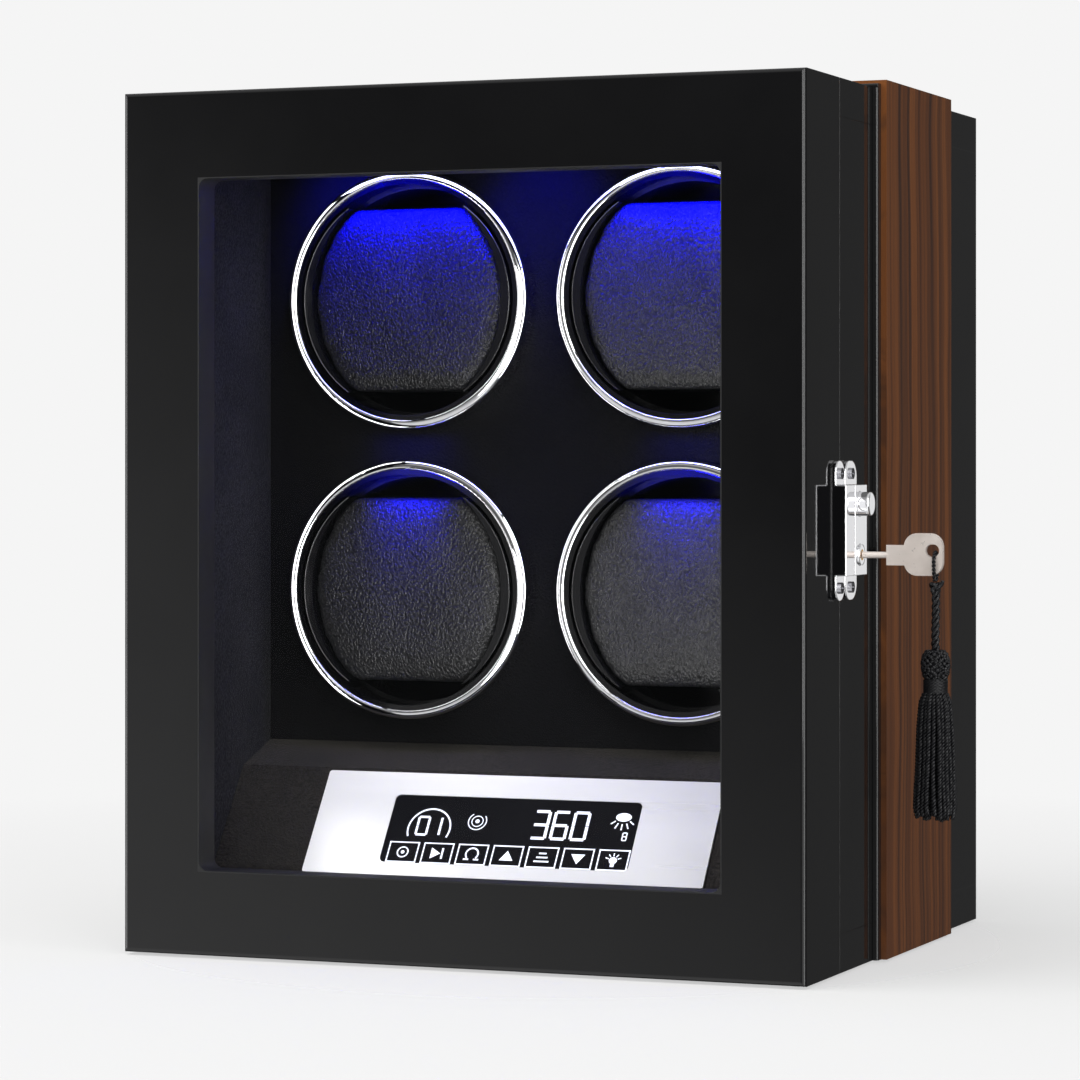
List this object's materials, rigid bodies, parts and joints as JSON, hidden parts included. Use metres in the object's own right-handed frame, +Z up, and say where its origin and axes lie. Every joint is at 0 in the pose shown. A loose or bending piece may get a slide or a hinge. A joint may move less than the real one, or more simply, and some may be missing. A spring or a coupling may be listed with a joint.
{
  "type": "watch winder box",
  "caption": "Cabinet with a hinged glass door, motor-driven rotors holding watch cushions, touch console, walnut band and a side lock with key and tassel.",
  "frame": {"origin": "middle of the base pad's underside, on the table; in depth it is midway between the door's front and the carcass's back edge", "axes": "+Z up, the glass door faces -Y, the lock is on the +X side"},
  "size_m": [0.2929, 0.207, 0.3038],
  "materials": {
    "black_lacquer": "high-gloss black lacquer",
    "walnut": "gloss-lacquered walnut",
    "fibreboard": "dark painted fibreboard",
    "velvet_board": "board covered in black velvet",
    "velvet": "charcoal velvet",
    "felt": "black felt",
    "clear_glass": "clear",
    "display_glass": "gloss black with white symbols",
    "black_plastic": "gloss black",
    "pulley_plastic": "natural white nylon",
    "silver": "satin silver",
    "chrome_plate": "mirror chrome",
    "steel": "zinc plated",
    "brass_barrel": "polished",
    "key_nickel": "warm nickel plate",
    "belt_rubber": "matt",
    "circuit_board": "green solder mask",
    "led_board": "white with clear lamps",
    "leather": "pebbled black leatherette",
    "tassel_thread": "black silk thread"
  },
  "bodies": {
    "cabinet": {"left_panel": "black_lacquer", "right_panel": "black_lacquer", "top_panel": "black_lacquer", "bottom_panel": "black_lacquer", "back_panel": "fibreboard", "rotor_panel": "velvet_board", "drive_plate": "fibreboard", "walnut_band": "walnut", "trim_moulding": "black_lacquer", "velvet_lining": "velvet", "console": "velvet_board", "control_plate": "silver", "touch_display": "display_glass", "control_board": "circuit_board", "led_strip": "led_board", "base_pad": "felt", "cabinet_hinge_leaves": "steel", "hinge_pins": "steel", "lock_case": "chrome_plate", "dc_jack": "black_plastic", "cabinet_screws": "steel", "gear_motors": "steel", "drive_belts": "belt_rubber"},
    "door": {"door_frame": "black_lacquer", "door_glass": "clear_glass", "glass_retainer": "black_plastic", "door_hinge_leaves": "steel", "lock_strike": "chrome_plate", "door_screws": "steel"},
    "rotor_1": {"rotor_cup_1": "black_plastic", "chrome_ring_1": "chrome_plate", "rotor_pulley_1": "pulley_plastic"},
    "cushion_1": {"cushion_core_1": "black_plastic", "cushion_pad_1": "leather"},
    "motor_pulley_1": {"motor_pulley_1": "pulley_plastic"},
    "rotor_2": {"rotor_cup_2": "black_plastic", "chrome_ring_2": "chrome_plate", "rotor_pulley_2": "pulley_plastic"},
    "cushion_2": {"cushion_core_2": "black_plastic", "cushion_pad_2": "leather"},
    "motor_pulley_2": {"motor_pulley_2": "pulley_plastic"},
    "rotor_3": {"rotor_cup_3": "black_plastic", "chrome_ring_3": "chrome_plate", "rotor_pulley_3": "pulley_plastic"},
    "cushion_3": {"cushion_core_3": "black_plastic", "cushion_pad_3": "leather"},
    "motor_pulley_3": {"motor_pulley_3": "pulley_plastic"},
    "rotor_4": {"rotor_cup_4": "black_plastic", "chrome_ring_4": "chrome_plate", "rotor_pulley_4": "pulley_plastic"},
    "cushion_4": {"cushion_core_4": "black_plastic", "cushion_pad_4": "leather"},
    "motor_pulley_4": {"motor_pulley_4": "pulley_plastic"},
    "lock_button": {"lock_button": "chrome_plate"},
    "lock_barrel": {"lock_barrel": "brass_barrel"},
    "lock_bolt": {"lock_bolt": "steel"},
    "key": {"key": "key_nickel"},
    "tassel_loop": {"tassel_loop": "tassel_thread"},
    "tassel": {"tassel_cord": "tassel_thread", "tassel": "tassel_thread"}
  },
  "joints": [
    {"name": "door_swing", "type": "hinge", "parent": "cabinet", "child": "door", "pos_m": [-0.1265, -0.0665, 0.151], "axis": [0, 0, -1], "range_deg": [0, 110]},
    {"name": "rotor_1_spin", "type": "hinge", "parent": "cabinet", "child": "rotor_1", "pos_m": [-0.0525, -0.0035, 0.231], "axis": [0, -1, 0], "continuous": true},
    {"name": "cushion_1_pull", "type": "slide", "parent": "rotor_1", "child": "cushion_1", "axis": [0, -1, 0], "range_m": [0, 0.042]},
    {"name": "motor_1_spin", "type": "hinge", "parent": "cabinet", "child": "motor_pulley_1", "pos_m": [-0.0225, 0.039, 0.201], "axis": [0, -1, 0], "continuous": true},
    {"name": "rotor_2_spin", "type": "hinge", "parent": "cabinet", "child": "rotor_2", "pos_m": [0.0525, -0.0035, 0.231], "axis": [0, -1, 0], "continuous": true},
    {"name": "cushion_2_pull", "type": "slide", "parent": "rotor_2", "child": "cushion_2", "axis": [0, -1, 0], "range_m": [0, 0.042]},
    {"name": "motor_2_spin", "type": "hinge", "parent": "cabinet", "child": "motor_pulley_2", "pos_m": [0.0225, 0.039, 0.201], "axis": [0, -1, 0], "continuous": true},
    {"name": "rotor_3_spin", "type": "hinge", "parent": "cabinet", "child": "rotor_3", "pos_m": [-0.0525, -0.0035, 0.126], "axis": [0, -1, 0], "continuous": true},
    {"name": "cushion_3_pull", "type": "slide", "parent": "rotor_3", "child": "cushion_3", "axis": [0, -1, 0], "range_m": [0, 0.042]},
    {"name": "motor_3_spin", "type": "hinge", "parent": "cabinet", "child": "motor_pulley_3", "pos_m": [-0.0225, 0.039, 0.156], "axis": [0, -1, 0], "continuous": true},
    {"name": "rotor_4_spin", "type": "hinge", "parent": "cabinet", "child": "rotor_4", "pos_m": [0.0525, -0.0035, 0.126], "axis": [0, -1, 0], "continuous": true},
    {"name": "cushion_4_pull", "type": "slide", "parent": "rotor_4", "child": "cushion_4", "axis": [0, -1, 0], "range_m": [0, 0.042]},
    {"name": "motor_4_spin", "type": "hinge", "parent": "cabinet", "child": "motor_pulley_4", "pos_m": [0.0225, 0.039, 0.156], "axis": [0, -1, 0], "continuous": true},
    {"name": "button_push", "type": "slide", "parent": "cabinet", "child": "lock_button", "axis": [-1, 0, 0], "range_m": [0, 0.0018], "stiffness_N_per_m": 500, "springref_m": -0.002},
    {"name": "key_turn", "type": "hinge", "parent": "cabinet", "child": "lock_barrel", "pos_m": [0.125, -0.06, 0.1411], "axis": [-1, 0, 0], "range_deg": [0, 90]},
    {"name": "bolt_lift", "type": "slide", "parent": "cabinet", "child": "lock_bolt", "axis": [0, 0, 1], "range_m": [0, 0.0037]},
    {"name": "key_withdraw", "type": "slide", "parent": "lock_barrel", "child": "key", "axis": [1, 0, 0], "range_m": [0, 0.012]},
    {"name": "loop_turn", "type": "hinge", "parent": "key", "child": "tassel_loop", "pos_m": [0.1564, -0.06, 0.142], "axis": [-1, 0, 0], "range_deg": [-90, 0], "deforming": ["tassel_loop"]},
    {"name": "tassel_swing", "type": "hinge", "parent": "tassel_loop", "child": "tassel", "pos_m": [0.1564, -0.06, 0.142], "axis": [0, 1, 0], "range_deg": [-45, 12]}
  ],
  "couplings": [
    {"joint": "motor_1_spin", "follows": "rotor_1_spin", "ratio": 3},
    {"joint": "motor_2_spin", "follows": "rotor_2_spin", "ratio": 3},
    {"joint": "motor_3_spin", "follows": "rotor_3_spin", "ratio": 3},
    {"joint": "motor_4_spin", "follows": "rotor_4_spin", "ratio": 3},
    {"joint": "bolt_lift", "follows": "key_turn", "m_per_rad": 0.0023408},
    {"joint": "loop_turn", "follows": "key_turn", "ratio": -1}
  ]
}
